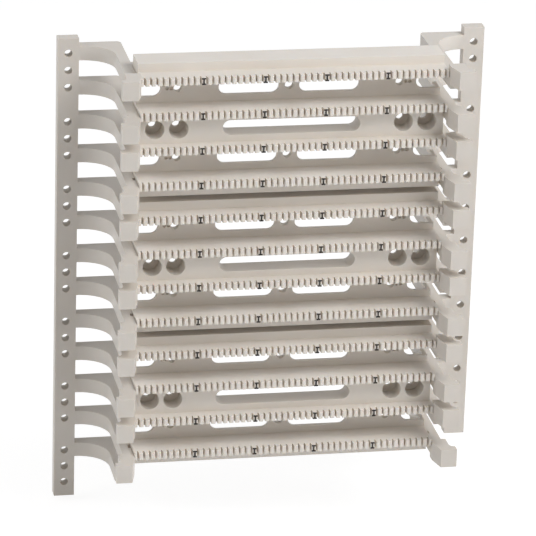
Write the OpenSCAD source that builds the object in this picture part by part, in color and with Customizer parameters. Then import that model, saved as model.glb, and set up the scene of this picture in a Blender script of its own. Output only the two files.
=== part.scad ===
// Punch down wiring block, 300 pair size, on two stand-off legs.
// Millimetres, +Z up, front faces -Y, wall plane at Y = 0.
// Origin: centre of the four screw holes that both rails share, on the wall plane.

/* [Rows] */
// distance from one toothed strip to the next
row_pitch = 22.4; // [21.6:0.1:24]
// distance from one tooth to the next
tooth_pitch = 3.81; // [3.7:0.01:3.95]
// width of the wire slot between two teeth
slot_w = 1.05; // [0.9:0.05:1.4]
// how far a wire slot goes in from the front of the strip
slot_deep = 3.6; // [2.5:0.1:6]
// chamfer at the front corners of a tooth
tooth_chamfer = 0.55; // [0.2:0.05:0.7]
// thickness of a toothed strip, which is also the height of its teeth
strip_t = 4.7; // [4:0.1:5.2]

/* [Bases] */
// back of the bases, measured from the wall
stand_off = 50; // [44:1:60]
// from the back of a base to the front of its teeth
base_deep = 34; // [33:0.5:38]
// from the back of a base to the front of its flat floor
floor_front = 12; // [11:0.5:14]
// from the back of a base to the front of its raised middle floor
deck_front = 24; // [22:0.5:25]
// from the back of a base to the front of its top and bottom rails
edge_front = 20; // [18:0.5:22]
// wall thickness of the base mouldings
base_wall = 2.5; // [2:0.1:2.8]
// top edge of a base above the middle of its first strip
edge_above = 7.8; // [6.5:0.1:8.5]
// bottom edge of a base below the middle of its last strip
edge_below = 10.8; // [9.5:0.1:11.5]

/* [Openings in the bases] */
// height of the through windows
window_h = 9.6; // [8:0.2:10.4]
// inner end of a side window, from the middle
window_in = 6.3; // [5.5:0.1:8]
// outer end of a side window, from the middle
window_out = 44; // [38:0.5:50]
// half length of the long slot in the raised floor
slot_half = 43; // [38:0.5:50]
// inner end of the notch at each end of a base, from the end
notch_in = 15.5; // [12:0.5:16.5]
// round screw recesses in the raised floor
recess_d = 12; // [10:0.5:12.5]
// screw hole in the bottom of each recess
recess_screw_d = 4.6; // [4:0.1:5.2]
// outer recess, from the end of the base
recess_out = 10.4; // [10:0.1:10.8]
// inner recess, from the end of the base
recess_in = 25.2; // [24.6:0.1:28]
// bore of the tube in the middle of each flat floor
pin_d = 5.4; // [5:0.2:7.2]
// bore of the tube near each end of each flat floor
side_pin_d = 5; // [4:0.2:5.4]

/* [Legs] */
// width of the screw rail
rail_w = 13.2; // [12:0.2:16]
// thickness of the screw rail
rail_t = 8; // [6:0.5:9]
// screw holes in the rails
screw_d = 5; // [4:0.1:5.6]
// rail end beyond its outer screw hole
rail_end = 9.75; // [8:0.25:12]
// height of an arm
arm_h = 9.3; // [8:0.1:10]
// from the rail to the outer face of the upright part of an arm
arm_reach = 20.3; // [18.5:0.1:24]
// flat part of an arm beside the rail, before its curve
arm_flat = 0.8; // [0.4:0.2:6]
// thickness of the upright part of an arm
arm_t = 6.7; // [5.5:0.1:7.5]
// width of the ledge that a base rests on
ledge_w = 5; // [4:0.25:7]
// thickness of that ledge
ledge_t = 8; // [5:0.5:10]
// middle of a strip above the middle of its arm
strip_rise = 4.4; // [4:0.1:4.8]
// gap between the end of a base and the legs
fit_gap = 0.3; // [0.2:0.05:0.5]

/* [Fingers] */
// how far the finger heads stand out beyond the teeth
head_out = 14; // [12:0.5:18]
// height of a finger head
head_h = 11.8; // [9:0.1:12]
// thickness of the turned out plate of a head
head_t = 5.5; // [4:0.25:6]
// how far a head is wider than its arm on the outer side
head_step = 3; // [2:0.25:4]
// how far the plate turns out beyond that
head_turn = 3.5; // [2.5:0.25:5]
// slope of the inner face of a head, across
head_flare = 3; // [1.5:0.25:4]
// top of a raised head above the middle of its strip
raised_top = 5.3; // [4.8:0.1:6]
// top of a level head above the middle of its strip
level_top = 0.4; // [0:0.1:0.8]

/* [Marks] */
// width of a pair group mark
mark_w = 2.5; // [2:0.1:2.6]
// height of a pair group mark
mark_h = 4.4; // [3.4:0.1:4.6]
// line width of a pair group mark
mark_line = 0.9; // [0.7:0.1:1.1]
// how far a mark stands off its tooth
mark_t = 0.3; // [0.2:0.05:0.4]

/* [Hidden] */
eps = 0.01;
rows_per_base = 4;
rows = 12;
half_teeth = 25;
mark_every = 10;
left_arms = 13;
left_holes = 21;
right_holes = 18;
right_tail = 1.3;
side_pin_in = 26;
pin_long = 5;
dimple_in = 19.5;
dimple_step = 2.7;
dimple_d = 2.2;
dimple_deep = 1.2;
catch_w = 1.6;
catch_long = 4;
catch_y = 66;
corner_r = 3;
head_back = 4;
head_lead = 2;
ivory = [0.89, 0.87, 0.82];
ink = [0.16, 0.13, 0.12];

// across
base_half = half_teeth * tooth_pitch + 0.25;
arm_in = base_half + fit_gap;
arm_out = arm_in + arm_t;
arm_curve = arm_reach - arm_flat;
rail_in = arm_out + arm_reach;
screw_x = rail_in + rail_w / 2;

// out from the wall
front = stand_off + base_deep;
head_front = front + head_out;
floor_t = 2.5;
deck_t = 3;
floor_y = stand_off + floor_front;
deck_y = stand_off + deck_front;
edge_y = stand_off + edge_front;

// up
arm1_z = 5.5 * row_pitch;
left_end_z = arm1_z - left_arms * row_pitch - rail_end;
right_end_z = arm1_z - rows * row_pitch - right_tail;

function arm_z(i) = arm1_z - (i - 1) * row_pitch;
function row_z(i) = arm_z(i) + strip_rise;
function hole_z(n) = arm1_z - (2 * floor(n / 3) + (n % 3) / 2) * row_pitch;
function slot_x(k) = (k - half_teeth + 0.5) * tooth_pitch;

// block from x0 to x1, from y0 to y1 out from the wall, from z0 to z1
module block(x0, x1, y0, y1, z0, z1) {
    translate([x0, -y1, z0])
        cube([x1 - x0, y1 - y0, z1 - z0]);
}

// round bar along Y, from y0 to y1 out from the wall
module bar(x, z, d, y0, y1, fn = 32) {
    translate([x, -y0, z])
        rotate([90, 0, 0])
            cylinder(d = d, h = y1 - y0, $fn = fn);
}

// long round-ended bar along Y
module long_bar(x0, x1, z, h, y0, y1) {
    r = h / 2;
    block(x0 + r, x1 - r, y0, y1, z - r, z + r);
    bar(x0 + r, z, h, y0, y1);
    bar(x1 - r, z, h, y0, y1);
}

// ---------------------------------------------------------------- bases

// outline of a toothed strip seen from above, with its wire slots
module comb_outline() {
    back = stand_off + floor_front - floor_t;
    h = slot_w / 2;
    c = tooth_chamfer;
    cuts = [for (k = [0 : 2 * half_teeth - 1]) for (p = [
        [slot_x(k) - h - c, -front],
        [slot_x(k) - h, -front + c],
        [slot_x(k) - h, -front + slot_deep],
        [slot_x(k) + h, -front + slot_deep],
        [slot_x(k) + h, -front + c],
        [slot_x(k) + h + c, -front]]) p];
    polygon(concat([[-base_half, -back], [-base_half, -front]], cuts,
                   [[base_half, -front], [base_half, -back]]));
}

module strip(z) {
    translate([0, 0, z - strip_t / 2])
        linear_extrude(height = strip_t)
            comb_outline();
}

// what the windows and holes of a flat floor take away
module flat_floor_cuts(z) {
    y0 = stand_off - 1;
    y1 = floor_y + 1;
    for (s = [-1, 1]) {
        x_in = min(s * window_in, s * window_out);
        x_out = max(s * window_in, s * window_out);
        long_bar(x_in, x_out, z, window_h, y0, y1);
        bar(s * (base_half - side_pin_in), z, side_pin_d, y0, y1, 24);
        for (i = [0, 1])
            bar(s * (base_half - dimple_in - i * dimple_step), z, dimple_d, floor_y - dimple_deep, y1, 16);
        n_in = min(s * (base_half - notch_in), s * (base_half + 6));
        n_out = max(s * (base_half - notch_in), s * (base_half + 6));
        long_bar(n_in, n_out, z, window_h, y0, y1);
    }
    bar(0, z, pin_d, y0, y1, 24);
}

// short tubes that stand on the back of a flat floor
module floor_tubes(z) {
    y0 = floor_y - pin_long;
    bar(0, z, pin_d + 3, y0, floor_y - 1);
    for (s = [-1, 1])
        bar(s * (base_half - side_pin_in), z, side_pin_d + 3, y0, floor_y - 1);
}

// what the screw recesses take away from the raised floor and the flat floor under it
module recess_cuts(z) {
    for (s = [-1, 1], inset = [recess_out, recess_in]) {
        bar(s * (base_half - inset), z, recess_d, floor_y, deck_y + 1);
        bar(s * (base_half - inset), z, recess_screw_d, stand_off - 1, deck_y, 24);
    }
}

module recess_walls(z) {
    for (s = [-1, 1], inset = [recess_out, recess_in])
        bar(s * (base_half - inset), z, recess_d + 3, floor_y - 1, deck_y - 1);
}

// one base moulding, its first strip being row number first
module base(first) {
    z1 = row_z(first);
    z4 = row_z(first + rows_per_base - 1);
    top = z1 + edge_above;
    bottom = z4 - edge_below;
    mid_a = z1 - row_pitch / 2;
    mid_b = z1 - row_pitch * 1.5;
    mid_c = z1 - row_pitch * 2.5;
    back_y = floor_y - floor_t;
    difference() {
        union() {
            for (i = [0 : rows_per_base - 1])
                strip(z1 - i * row_pitch);
            // flat floor
            block(-base_half, base_half, back_y, floor_y, z4, z1);
            // raised floor between the two middle strips
            block(-base_half, base_half, deck_y - deck_t, deck_y, mid_b - row_pitch / 2, mid_b + row_pitch / 2);
            // ends
            for (s = [0, 1])
                mirror([s, 0, 0]) {
                    block(base_half - base_wall, base_half, stand_off, floor_y, bottom, top);
                    block(base_half - base_wall, base_half, stand_off, deck_y, mid_b - row_pitch / 2, mid_b + row_pitch / 2);
                    block(base_half - base_wall, base_half, stand_off, edge_y, z1, top);
                    block(base_half - base_wall, base_half, stand_off, edge_y, bottom, z4);
                }
            // top and bottom rails
            block(-base_half, base_half, stand_off, edge_y, top - base_wall, top);
            block(-base_half, base_half, edge_y - deck_t, edge_y, z1, top);
            block(-base_half, base_half, stand_off, edge_y, bottom, bottom + base_wall);
            block(-base_half, base_half, edge_y - deck_t, edge_y, bottom, z4);
            // walls round the long slot, the recesses and the pin holes
            long_bar(-slot_half - 2, slot_half + 2, mid_b, window_h + 4, back_y, deck_y - 1);
            recess_walls(mid_b);
            floor_tubes(mid_a);
            floor_tubes(mid_c);
        }
        flat_floor_cuts(mid_a);
        flat_floor_cuts(mid_c);
        long_bar(-slot_half, slot_half, mid_b, window_h, stand_off - 1, deck_y + 1);
        recess_cuts(mid_b);
    }
}

// ---------------------------------------------------------------- marks

// upright bar with a short foot and a short head
module mark_outline() {
    w = mark_w / 2;
    h = mark_h / 2;
    l = mark_line / 2;
    f = h - mark_line;
    polygon([[-w, -h], [w, -h], [w, -f], [l, -f], [l, f], [w, f],
             [w, h], [-w, h], [-w, f], [-l, f], [-l, -f], [-w, -f]]);
}

module marks(first) {
    for (i = [first : first + rows_per_base - 1])
        for (k = [-3 : 2 : 3])
            translate([k * mark_every / 2 * tooth_pitch, -front, row_z(i)])
                rotate([90, 0, 0])
                    linear_extrude(height = mark_t)
                        mark_outline();
}

// ---------------------------------------------------------------- legs

// outline of an arm seen from above, for the right leg
module arm_outline(y_end) {
    difference() {
        union() {
            translate([arm_in, -y_end])
                square([arm_t, y_end]);
            translate([arm_in, -rail_t - arm_curve])
                square([rail_in - arm_in + eps, rail_t + arm_curve]);
        }
        translate([arm_out + arm_curve, -rail_t - arm_curve])
            circle(r = arm_curve, $fn = 64);
        translate([arm_out + arm_curve, -rail_t - arm_curve - eps])
            square([rail_in - arm_out - arm_curve + 1, arm_curve + eps]);
        // rounded inner corner at the wall
        difference() {
            translate([arm_in - 1, -corner_r])
                square([corner_r + 1, corner_r + 1]);
            translate([arm_in + corner_r, -corner_r])
                circle(r = corner_r, $fn = 32);
        }
    }
}

// outline of a finger head seen from above, for the right leg
module head_outline() {
    y0 = front - head_back;
    y_plate = head_front - head_t;
    r = head_turn;
    side = arm_out + head_step;
    difference() {
        polygon([[arm_in, -y0], [arm_in, -front - head_lead], [arm_in + head_flare, -head_front],
                 [side + r, -head_front], [side + r, -y_plate + r], [side, -y_plate + r],
                 [side, -y0]]);
        translate([side + r, -y_plate + r])
            circle(r = r, $fn = 48);
    }
}

module arm(i, fingers) {
    z0 = arm_z(i) - arm_h / 2;
    y_end = fingers ? front + head_lead : stand_off;
    difference() {
        translate([0, 0, z0])
            linear_extrude(height = arm_h)
                arm_outline(y_end);
        // slot for the catch at the foot of each base
        if (fingers && i % rows_per_base == 0)
            block(arm_in - 1, arm_in + catch_w, catch_y, catch_y + catch_long, z0 + arm_h - catch_long, z0 + arm_h + 1);
    }
    if (fingers) {
        // ledge under the back of the base
        block(arm_in - ledge_w, arm_in + 1, stand_off - ledge_t, stand_off, z0, z0 + arm_h);
        top = row_z(i) + (i % 2 == 1 ? raised_top : level_top);
        translate([0, 0, top - head_h])
            linear_extrude(height = head_h)
                head_outline();
    }
}

module leg(arms, holes, bottom_z) {
    top_z = arm1_z + rail_end;
    difference() {
        block(rail_in, rail_in + rail_w, 0, rail_t, bottom_z, top_z);
        for (n = [0 : holes - 1])
            bar(screw_x, hole_z(n), screw_d, -1, rail_t + 1, 24);
    }
    for (i = [1 : arms])
        arm(i, i <= rows);
}

module left_leg() {
    color(ivory)
        mirror([1, 0, 0])
            leg(left_arms, left_holes, left_end_z);
}

module right_leg() {
    color(ivory)
        leg(rows, right_holes, right_end_z);
}

module top_base() {
    color(ivory)
        base(1);
}

module middle_base() {
    color(ivory)
        base(5);
}

module bottom_base() {
    color(ivory)
        base(9);
}

module top_marks() {
    color(ink)
        marks(1);
}

module middle_marks() {
    color(ink)
        marks(5);
}

module bottom_marks() {
    color(ink)
        marks(9);
}

left_leg();
right_leg();
top_base();
middle_base();
bottom_base();
top_marks();
middle_marks();
bottom_marks();
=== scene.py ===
"""Looks of a punch down wiring block: off-white moulded bases and legs in a plain studio.

Metres, +Z up, the front faces -Y and the wall plane is Y = 0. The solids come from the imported
frame. This script rounds their edges, gives them procedural materials, and sets up the floor,
the lamps, the world and the camera.
"""
import logging
import math
from dataclasses import dataclass, field
from enum import Enum

import bpy
import numpy as np
from mathutils import Matrix, Vector


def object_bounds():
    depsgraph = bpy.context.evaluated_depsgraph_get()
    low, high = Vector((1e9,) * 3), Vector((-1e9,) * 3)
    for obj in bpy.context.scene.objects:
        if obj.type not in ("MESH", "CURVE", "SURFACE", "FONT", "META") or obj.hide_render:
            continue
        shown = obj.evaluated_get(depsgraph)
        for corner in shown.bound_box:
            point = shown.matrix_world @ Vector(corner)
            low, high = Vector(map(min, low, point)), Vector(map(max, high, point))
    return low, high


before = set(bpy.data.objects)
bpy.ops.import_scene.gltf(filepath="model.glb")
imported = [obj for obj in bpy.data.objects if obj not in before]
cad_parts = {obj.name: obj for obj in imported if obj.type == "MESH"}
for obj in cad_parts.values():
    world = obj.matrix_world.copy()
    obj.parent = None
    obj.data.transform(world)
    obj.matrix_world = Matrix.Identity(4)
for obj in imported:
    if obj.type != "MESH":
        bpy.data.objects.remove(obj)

LOG = logging.getLogger("wiring_block")
CAD_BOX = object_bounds()
NODES: dict[str, bpy.types.Object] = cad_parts
MM = 0.001
WHITE = (1.0, 1.0, 1.0)


class Tone(Enum):
    """The plastics' and the ink's linear base colours."""

    LEG = (0.675, 0.634, 0.587)
    BASE = (0.785, 0.741, 0.689)
    INK = (0.020, 0.017, 0.015)


class Edge(Enum):
    """How far each kind of moulding is rounded, in metres."""

    LEG = 0.55 * MM
    BASE = 0.40 * MM


# ---------------------------------------------------------------- finishes


@dataclass(frozen=True)
class Noise:
    """A noise's scale, its octaves, and how strongly each octave counts."""

    scale: float
    octaves: float
    octave_weight: float = 0.5


@dataclass(frozen=True)
class Stop:
    """One end of a colour ramp."""

    position: float
    colour: tuple[float, float, float]


@dataclass(frozen=True)
class NodeBoard:
    """The node tree of a material or world, with short calls to add and join nodes."""

    owner: bpy.types.Material | bpy.types.World

    @classmethod
    def cleared(cls, owner: bpy.types.Material | bpy.types.World) -> "NodeBoard":
        """A board that is cleared of its default nodes.

        Args:
            owner: a new material or world.

        Returns:
            The board.
        """
        owner.use_nodes = True
        owner.node_tree.nodes.clear()
        return cls(owner)

    @classmethod
    def named(cls, name: str) -> "NodeBoard":
        """The cleared board of a new material."""
        return cls.cleared(bpy.data.materials.new(name))

    def add(self, kind: str, **values: object) -> bpy.types.Node:
        """Adds a node and sets its inputs and properties.

        Args:
            kind: the node's type, without its ShaderNode prefix.
            values: property names, or input names with spaces written as underscores.

        Returns:
            The node.
        """
        node = self.owner.node_tree.nodes.new("ShaderNode" + kind)
        for key, value in values.items():
            label = key.replace("_", " ")
            if label in node.inputs:
                node.inputs[label].default_value = value
            else:
                setattr(node, key, value)
        return node

    def join(self, source: bpy.types.NodeSocket, target: bpy.types.NodeSocket) -> None:
        """Joins an output to an input."""
        self.owner.node_tree.links.new(source, target)

    def noise(self, noise: Noise) -> bpy.types.NodeSocket:
        """A noise that runs through the piece on its Object coordinates.

        Args:
            noise: its scale and octaves.

        Returns:
            The socket of its value, about 0 to 1.
        """
        coords = self.add("TexCoord")
        node = self.add("TexNoise", Scale=noise.scale, Detail=noise.octaves,
                        Roughness=noise.octave_weight)
        self.join(coords.outputs["Object"], node.inputs["Vector"])
        return node.outputs["Fac"]

    def ramp(self, value: bpy.types.NodeSocket, low: Stop, high: Stop) -> bpy.types.NodeSocket:
        """Turns a value into a colour between two stops.

        Args:
            value: the value's socket.
            low: the lower stop.
            high: the upper stop.

        Returns:
            The colour's socket.
        """
        node = self.add("ValToRGB")
        for element, stop in zip(node.color_ramp.elements, (low, high)):
            element.position = stop.position
            element.color = (*stop.colour, 1)
        self.join(value, node.inputs["Fac"])
        return node.outputs["Color"]

    def spread(self, value: bpy.types.NodeSocket, low: float, high: float) -> bpy.types.NodeSocket:
        """Spreads a value of 0 to 1 over another span.

        Args:
            value: the value's socket.
            low: the span's lower end.
            high: its upper end.

        Returns:
            The socket of the spread value.
        """
        node = self.add("MapRange", To_Min=low, To_Max=high)
        self.join(value, node.inputs["Value"])
        return node.outputs["Result"]

    def product(self, first: bpy.types.NodeSocket,
                second: bpy.types.NodeSocket) -> bpy.types.NodeSocket:
        """Multiplies two colours, on the colour sockets of a mix node.

        Args:
            first: a colour's socket.
            second: the other colour's socket.

        Returns:
            The socket of the product.
        """
        node = self.add("Mix", data_type="RGBA", blend_type="MULTIPLY")
        share, first_colour, second_colour = (node.inputs[place] for place in (0, 6, 7))
        share.default_value = 1.0
        self.join(first, first_colour)
        self.join(second, second_colour)
        return node.outputs[2]

    def bump(self, height: bpy.types.NodeSocket, strength: float, rise: float) -> bpy.types.Node:
        """A bump whose height follows a value.

        Args:
            height: the value's socket.
            strength: how strongly it shows.
            rise: the height in metres at a value of 1.

        Returns:
            The bump node.
        """
        node = self.add("Bump", Strength=strength, Distance=rise)
        self.join(height, node.inputs["Height"])
        return node

    def mixed(self, share: bpy.types.NodeSocket, first: bpy.types.Node,
              second: bpy.types.Node) -> bpy.types.NodeSocket:
        """Mixes two shaders.

        Args:
            share: the socket of the second shader's share.
            first: the first shader's node.
            second: the second shader's node.

        Returns:
            The mixed shader's socket.
        """
        node = self.add("MixShader")
        for source, target in zip((share, first.outputs[0], second.outputs[0]), node.inputs):
            self.join(source, target)
        return node.outputs["Shader"]

    def on_show(self) -> bpy.types.NodeSocket:
        """Tells the rays that look at the stage: the camera's, and those in gloss and glass.

        Returns:
            A socket that is 1 on those rays and 0 on all others.
        """
        rays = self.add("LightPath")
        seen = rays.outputs["Is Camera Ray"]
        for kind in ("Is Glossy Ray", "Is Transmission Ray"):
            either = self.add("Math", operation="MAXIMUM")
            self.join(seen, either.inputs[0])
            self.join(rays.outputs[kind], either.inputs[1])
            seen = either.outputs[0]
        return seen


@dataclass(frozen=True)
class MouldedPlastic:
    """Off-white injection moulded plastic: cloudy tint, fine spark texture, soft satin gloss."""

    name: str
    tone: Tone
    cloud: Noise = Noise(22.0, 3.0, 0.55)
    cloud_from: float = 0.33
    cloud_to: float = 0.68
    cloud_shade: tuple[float, float, float] = (0.945, 0.9403, 0.9308)
    # Painted shade: ambient occlusion reach and samples, and a ramp from the darkest painted shade
    # to none.
    hollow_reach: float = 9.0 * MM
    hollow_samples: int = 8
    deepest_painted_shade: Stop = Stop(0.15, (0.90, 0.862, 0.806))
    no_painted_shade: Stop = Stop(0.80, WHITE)
    roughness: float = 0.47
    roughness_swing: float = 0.09
    handling: Noise = Noise(91.0, 4.0, 0.6)
    spark: Noise = Noise(1900.0, 2.0)
    spark_strength: float = 0.045
    spark_rise: float = 0.15 * MM
    sink: Noise = Noise(65.0, 1.0, 0.4)
    sink_strength: float = 0.12
    sink_rise: float = 0.25 * MM
    specular: float = 0.42
    ior: float = 1.5
    glow_weight: float = 0.22
    glow_radius: tuple[float, float, float] = (4 * MM, 3 * MM, 2 * MM)
    glow_scale: float = 0.5

    def material(self) -> bpy.types.Material:
        """Builds the material.

        Returns:
            A material whose colour drifts slowly, with varied gloss and a fine spark bump.
        """
        board = NodeBoard.named(self.name)
        shader = board.add("BsdfPrincipled", Specular_IOR_Level=self.specular, IOR=self.ior,
                           Subsurface_Weight=self.glow_weight,
                           Subsurface_Radius=self.glow_radius, Subsurface_Scale=self.glow_scale)
        out = board.add("OutputMaterial")
        board.join(shader.outputs["BSDF"], out.inputs["Surface"])
        board.join(self._colour(board), shader.inputs["Base Color"])
        board.join(self._roughness(board), shader.inputs["Roughness"])
        board.join(self._normal(board), shader.inputs["Normal"])
        return board.owner

    def _colour(self, board: NodeBoard) -> bpy.types.NodeSocket:
        """The base colour: slow cloudiness, and painted shade that darkens and warms the corners
        and hollows.

        Args:
            board: the material's board.

        Returns:
            The colour socket.
        """
        full = self.tone.value
        shaded = tuple(part * shade for part, shade in zip(full, self.cloud_shade))
        tint = board.ramp(board.noise(self.cloud), Stop(self.cloud_from, shaded),
                          Stop(self.cloud_to, full))
        # Painted shade: ambient occlusion darkens and warms the colour in corners, slots and
        # recesses, where shade falls.
        hollow = board.add("AmbientOcclusion", Distance=self.hollow_reach,
                           samples=self.hollow_samples)
        corner_shade = board.ramp(hollow.outputs["AO"], self.deepest_painted_shade, self.no_painted_shade)
        return board.product(tint, corner_shade)

    def _roughness(self, board: NodeBoard) -> bpy.types.NodeSocket:
        """Satin gloss that varies from place to place, as on handled plastic.

        Args:
            board: the material's board.

        Returns:
            The roughness socket.
        """
        return board.spread(board.noise(self.handling), self.roughness - self.roughness_swing,
                            self.roughness + self.roughness_swing)

    def _normal(self, board: NodeBoard) -> bpy.types.NodeSocket:
        """A fine spark-eroded grain over faint long waves of sink.

        Args:
            board: the material's board.

        Returns:
            The normal socket.
        """
        grain = board.bump(board.noise(self.spark), self.spark_strength, self.spark_rise)
        waves = board.bump(board.noise(self.sink), self.sink_strength, self.sink_rise)
        board.join(waves.outputs["Normal"], grain.inputs["Normal"])
        return grain.outputs["Normal"]


@dataclass(frozen=True)
class PrintedInk:
    """Dark hot-stamped ink, thin enough in places for the plastic to show."""

    name: str = "stamped_ink"
    specular: float = 0.3
    speckle: Noise = Noise(1400.0, 2.0)
    full_ink: Stop = Stop(0.55, Tone.INK.value)
    worn_ink: Stop = Stop(0.78, (0.17, 0.15, 0.13))
    roughness_span: tuple[float, float] = (0.5, 0.7)

    def material(self) -> bpy.types.Material:
        """Builds the ink material.

        Returns:
            A dark flat material with small worn specks.
        """
        board = NodeBoard.named(self.name)
        shader = board.add("BsdfPrincipled", Specular_IOR_Level=self.specular)
        out = board.add("OutputMaterial")
        board.join(shader.outputs["BSDF"], out.inputs["Surface"])
        speck = board.noise(self.speckle)
        board.join(board.ramp(speck, self.full_ink, self.worn_ink), shader.inputs["Base Color"])
        board.join(board.spread(speck, *self.roughness_span), shader.inputs["Roughness"])
        return board.owner


# ---------------------------------------------------------------- the block


@dataclass(frozen=True)
class RoundedEdges:
    """Rounds a moulding's sharp edges with modifiers, its mesh being left alone."""

    radius: float
    segments: int = 2
    join_within: float = 1e-6
    flat_within: float = math.radians(1.5)
    sharp_from: float = math.radians(40)

    def put_on(self, piece: bpy.types.Object) -> None:
        """Joins the loose facets, merges those in one plane, and rounds what is sharp.

        Args:
            piece: the moulding's object.
        """
        joined = piece.modifiers.new("join_facets", "WELD")
        joined.merge_threshold = self.join_within
        flat = piece.modifiers.new("merge_flats", "DECIMATE")
        flat.decimate_type = "DISSOLVE"
        flat.angle_limit = self.flat_within
        bevel = piece.modifiers.new("edge_radius", "BEVEL")
        bevel.width = self.radius
        bevel.segments = self.segments
        bevel.limit_method = "ANGLE"
        bevel.angle_limit = self.sharp_from
        bevel.miter_outer = "MITER_ARC"
        bevel.harden_normals = False


def wear(piece: bpy.types.Object, material: bpy.types.Material) -> None:
    """Gives a piece one material in place of those it came with."""
    piece.data.materials.clear()
    piece.data.materials.append(material)


@dataclass
class Legs:
    """The two stand-off legs."""

    names: tuple[str, ...] = ("left_leg", "right_leg")
    finish: MouldedPlastic = MouldedPlastic("leg_plastic", Tone.LEG)
    edges: RoundedEdges = RoundedEdges(Edge.LEG.value)

    def build(self) -> None:
        """Rounds and dresses both legs."""
        material = self.finish.material()
        for name in self.names:
            wear(NODES[name], material)
            self.edges.put_on(NODES[name])
            LOG.info("%s dressed", name)


@dataclass
class Bases:
    """The three toothed bases and the marks printed on their teeth."""

    names: tuple[str, ...] = ("top_base", "middle_base", "bottom_base")
    marks: tuple[str, ...] = ("top_marks", "middle_marks", "bottom_marks")
    finish: MouldedPlastic = MouldedPlastic("base_plastic", Tone.BASE)
    edges: RoundedEdges = RoundedEdges(Edge.BASE.value)
    ink: PrintedInk = PrintedInk()

    def build(self) -> None:
        """Rounds and dresses the bases, and inks the marks."""
        material = self.finish.material()
        for name in self.names:
            wear(NODES[name], material)
            self.edges.put_on(NODES[name])
            LOG.info("%s dressed", name)
        ink = self.ink.material()
        for name in self.marks:
            wear(NODES[name], ink)
            LOG.info("%s inked", name)


# ---------------------------------------------------------------- studio


def turned_to(place: Vector, target: Vector) -> Matrix:
    """The turn that makes a lamp or camera at a place look at a target, with +Z up."""
    return (target - place).to_track_quat("-Z", "Y").to_matrix().to_4x4()


@dataclass(frozen=True)
class Lamp:
    """A square soft lamp that looks at the block, with its side in metres and power in watts."""

    name: str
    place: tuple[float, float, float]
    side: float
    power: float

    def hang(self, aim: Vector) -> None:
        """Hangs the lamp.

        Args:
            aim: the point that it looks at.
        """
        data = bpy.data.lights.new(self.name, "AREA")
        data.shape = "SQUARE"
        data.size = self.side
        data.energy = self.power
        lamp = bpy.data.objects.new(self.name, data)
        lamp.location = self.place
        lamp.rotation_mode = "QUATERNION"
        lamp.rotation_quaternion = turned_to(Vector(self.place), aim).to_quaternion()
        bpy.context.scene.collection.objects.link(lamp)


@dataclass(frozen=True)
class LongLens:
    """The camera: a long lens from the left and above, turned a little about its own axis.

    Angles are in degrees, and lengths in metres but for the sensor, which is in millimetres. The
    view is so many metres wide at the point that the camera looks at.
    """

    azimuth: float = -11.3
    elevation: float = 21.0
    roll: float = -1.8
    distance: float = 2.4
    view_width: float = 0.3451
    sensor: float = 36.0
    clip_start: float = 0.05
    clip_end: float = 50.0

    def put_up(self, aim: Vector) -> None:
        """Puts the camera up and makes it the scene's.

        Args:
            aim: the point that it looks at.
        """
        data = bpy.data.cameras.new("camera")
        data.sensor_width = self.sensor
        data.lens = self.sensor * self.distance / self.view_width
        data.clip_start = self.clip_start
        data.clip_end = self.clip_end
        round_z, up = math.radians(self.azimuth), math.radians(self.elevation)
        back = Vector((math.sin(round_z) * math.cos(up), -math.cos(round_z) * math.cos(up),
                       math.sin(up)))
        camera = bpy.data.objects.new("camera", data)
        camera.location = aim + back * self.distance
        camera.rotation_mode = "QUATERNION"
        turn = Matrix.Rotation(math.radians(self.roll), 4, -back)
        camera.rotation_quaternion = (turn @ turned_to(camera.location, aim)).to_quaternion()
        bpy.context.scene.collection.objects.link(camera)
        bpy.context.scene.camera = camera


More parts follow.
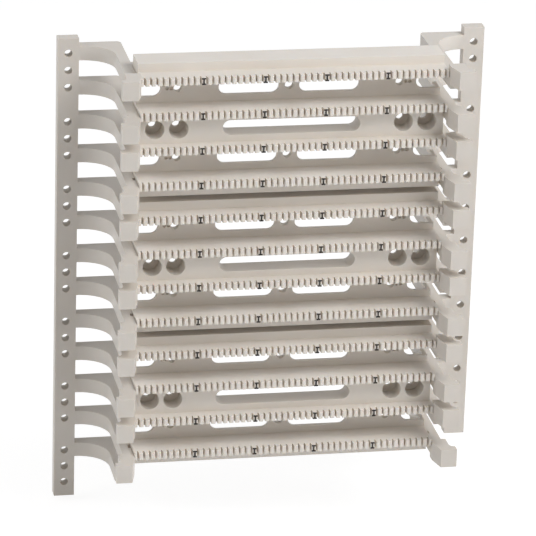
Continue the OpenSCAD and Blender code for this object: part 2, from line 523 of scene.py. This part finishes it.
@dataclass
class Studio:
    """Floor, lamps, world and camera.

    The lamps are a wide one high in front on the right, a faint low one further right, and a
    weaker one low on the left. The floor shows its own light mixed with glow, so that it reads
    as white and still keeps a faint shadow.
    """

    aim: Vector = field(default_factory=lambda: Vector((2.7 * MM, 0.0, -28.1 * MM)))
    lamps: tuple[Lamp, ...] = (
        Lamp("key", (0.80, -0.90, 1.20), 0.9, 18.0),
        Lamp("right", (0.95, -0.75, 0.30), 0.6, 1.5),
        Lamp("left", (-1.40, -0.15, 0.55), 1.0, 7.0),
    )
    lens: LongLens = LongLens()
    ambient: float = 0.31
    floor_z: float = CAD_BOX[0].z - 4 * MM
    floor_reach: float = 3.0
    floor_cells: int = 6
    floor_grey: float = 0.86
    floor_glow: float = 1.3
    glow_share: float = 0.66

    def build(self) -> None:
        """Sets up the whole studio."""
        self._floor()
        for lamp in self.lamps:
            lamp.hang(self.aim)
        self._world()
        self.lens.put_up(self.aim)
        bpy.context.scene.view_settings.view_transform = "Standard"

    def _floor(self) -> None:
        """A wide pale floor: the grid point (u, v) lies at (u, v, floor height)."""
        line = np.linspace(-self.floor_reach, self.floor_reach, self.floor_cells + 1)
        u, v = np.meshgrid(line, line, indexing="ij")
        points = np.stack([u, v, np.full_like(u, self.floor_z)], axis=-1).reshape(-1, 3)
        at = np.arange(u.size).reshape(u.shape)
        corners = [at[:-1, :-1], at[1:, :-1], at[1:, 1:], at[:-1, 1:]]
        quads = np.stack(corners, axis=-1).reshape(-1, 4)
        mesh = bpy.data.meshes.new("floor")
        mesh.from_pydata(points.tolist(), [], quads.tolist())
        floor = bpy.data.objects.new("floor", mesh)
        bpy.context.scene.collection.objects.link(floor)
        mesh.materials.append(self._floor_white())

    def _floor_white(self) -> bpy.types.Material:
        """The floor's material: matt to the light, and mixed with glow where it is seen.

        Returns:
            The material.
        """
        board = NodeBoard.named("floor_white")
        out = board.add("OutputMaterial")
        matt = board.add("BsdfDiffuse", Color=(*(self.floor_grey,) * 3, 1))
        glow = board.add("Emission", Color=(*WHITE, 1), Strength=self.floor_glow)
        share = board.add("Math", operation="MULTIPLY")
        seen, part = share.inputs[0], share.inputs[1]
        board.join(board.on_show(), seen)
        part.default_value = self.glow_share
        board.join(board.mixed(share.outputs[0], matt, glow), out.inputs["Surface"])
        return board.owner

    def _world(self) -> None:
        """Soft light all round, seen as white by the camera and in gloss."""
        world = bpy.data.worlds.new("studio")
        bpy.context.scene.world = world
        board = NodeBoard.cleared(world)
        out = board.add("OutputWorld")
        soft = board.add("Background", Color=(*WHITE, 1), Strength=self.ambient)
        white = board.add("Background", Color=(*WHITE, 1), Strength=1.0)
        board.join(board.mixed(board.on_show(), soft, white), out.inputs["Surface"])


def main() -> None:
    """Builds the legs, the bases and the studio in order."""
    logging.basicConfig(level=logging.INFO)
    Legs().build()
    Bases().build()
    Studio().build()
    bpy.context.view_layer.update()


if __name__ == "__main__":
    main()
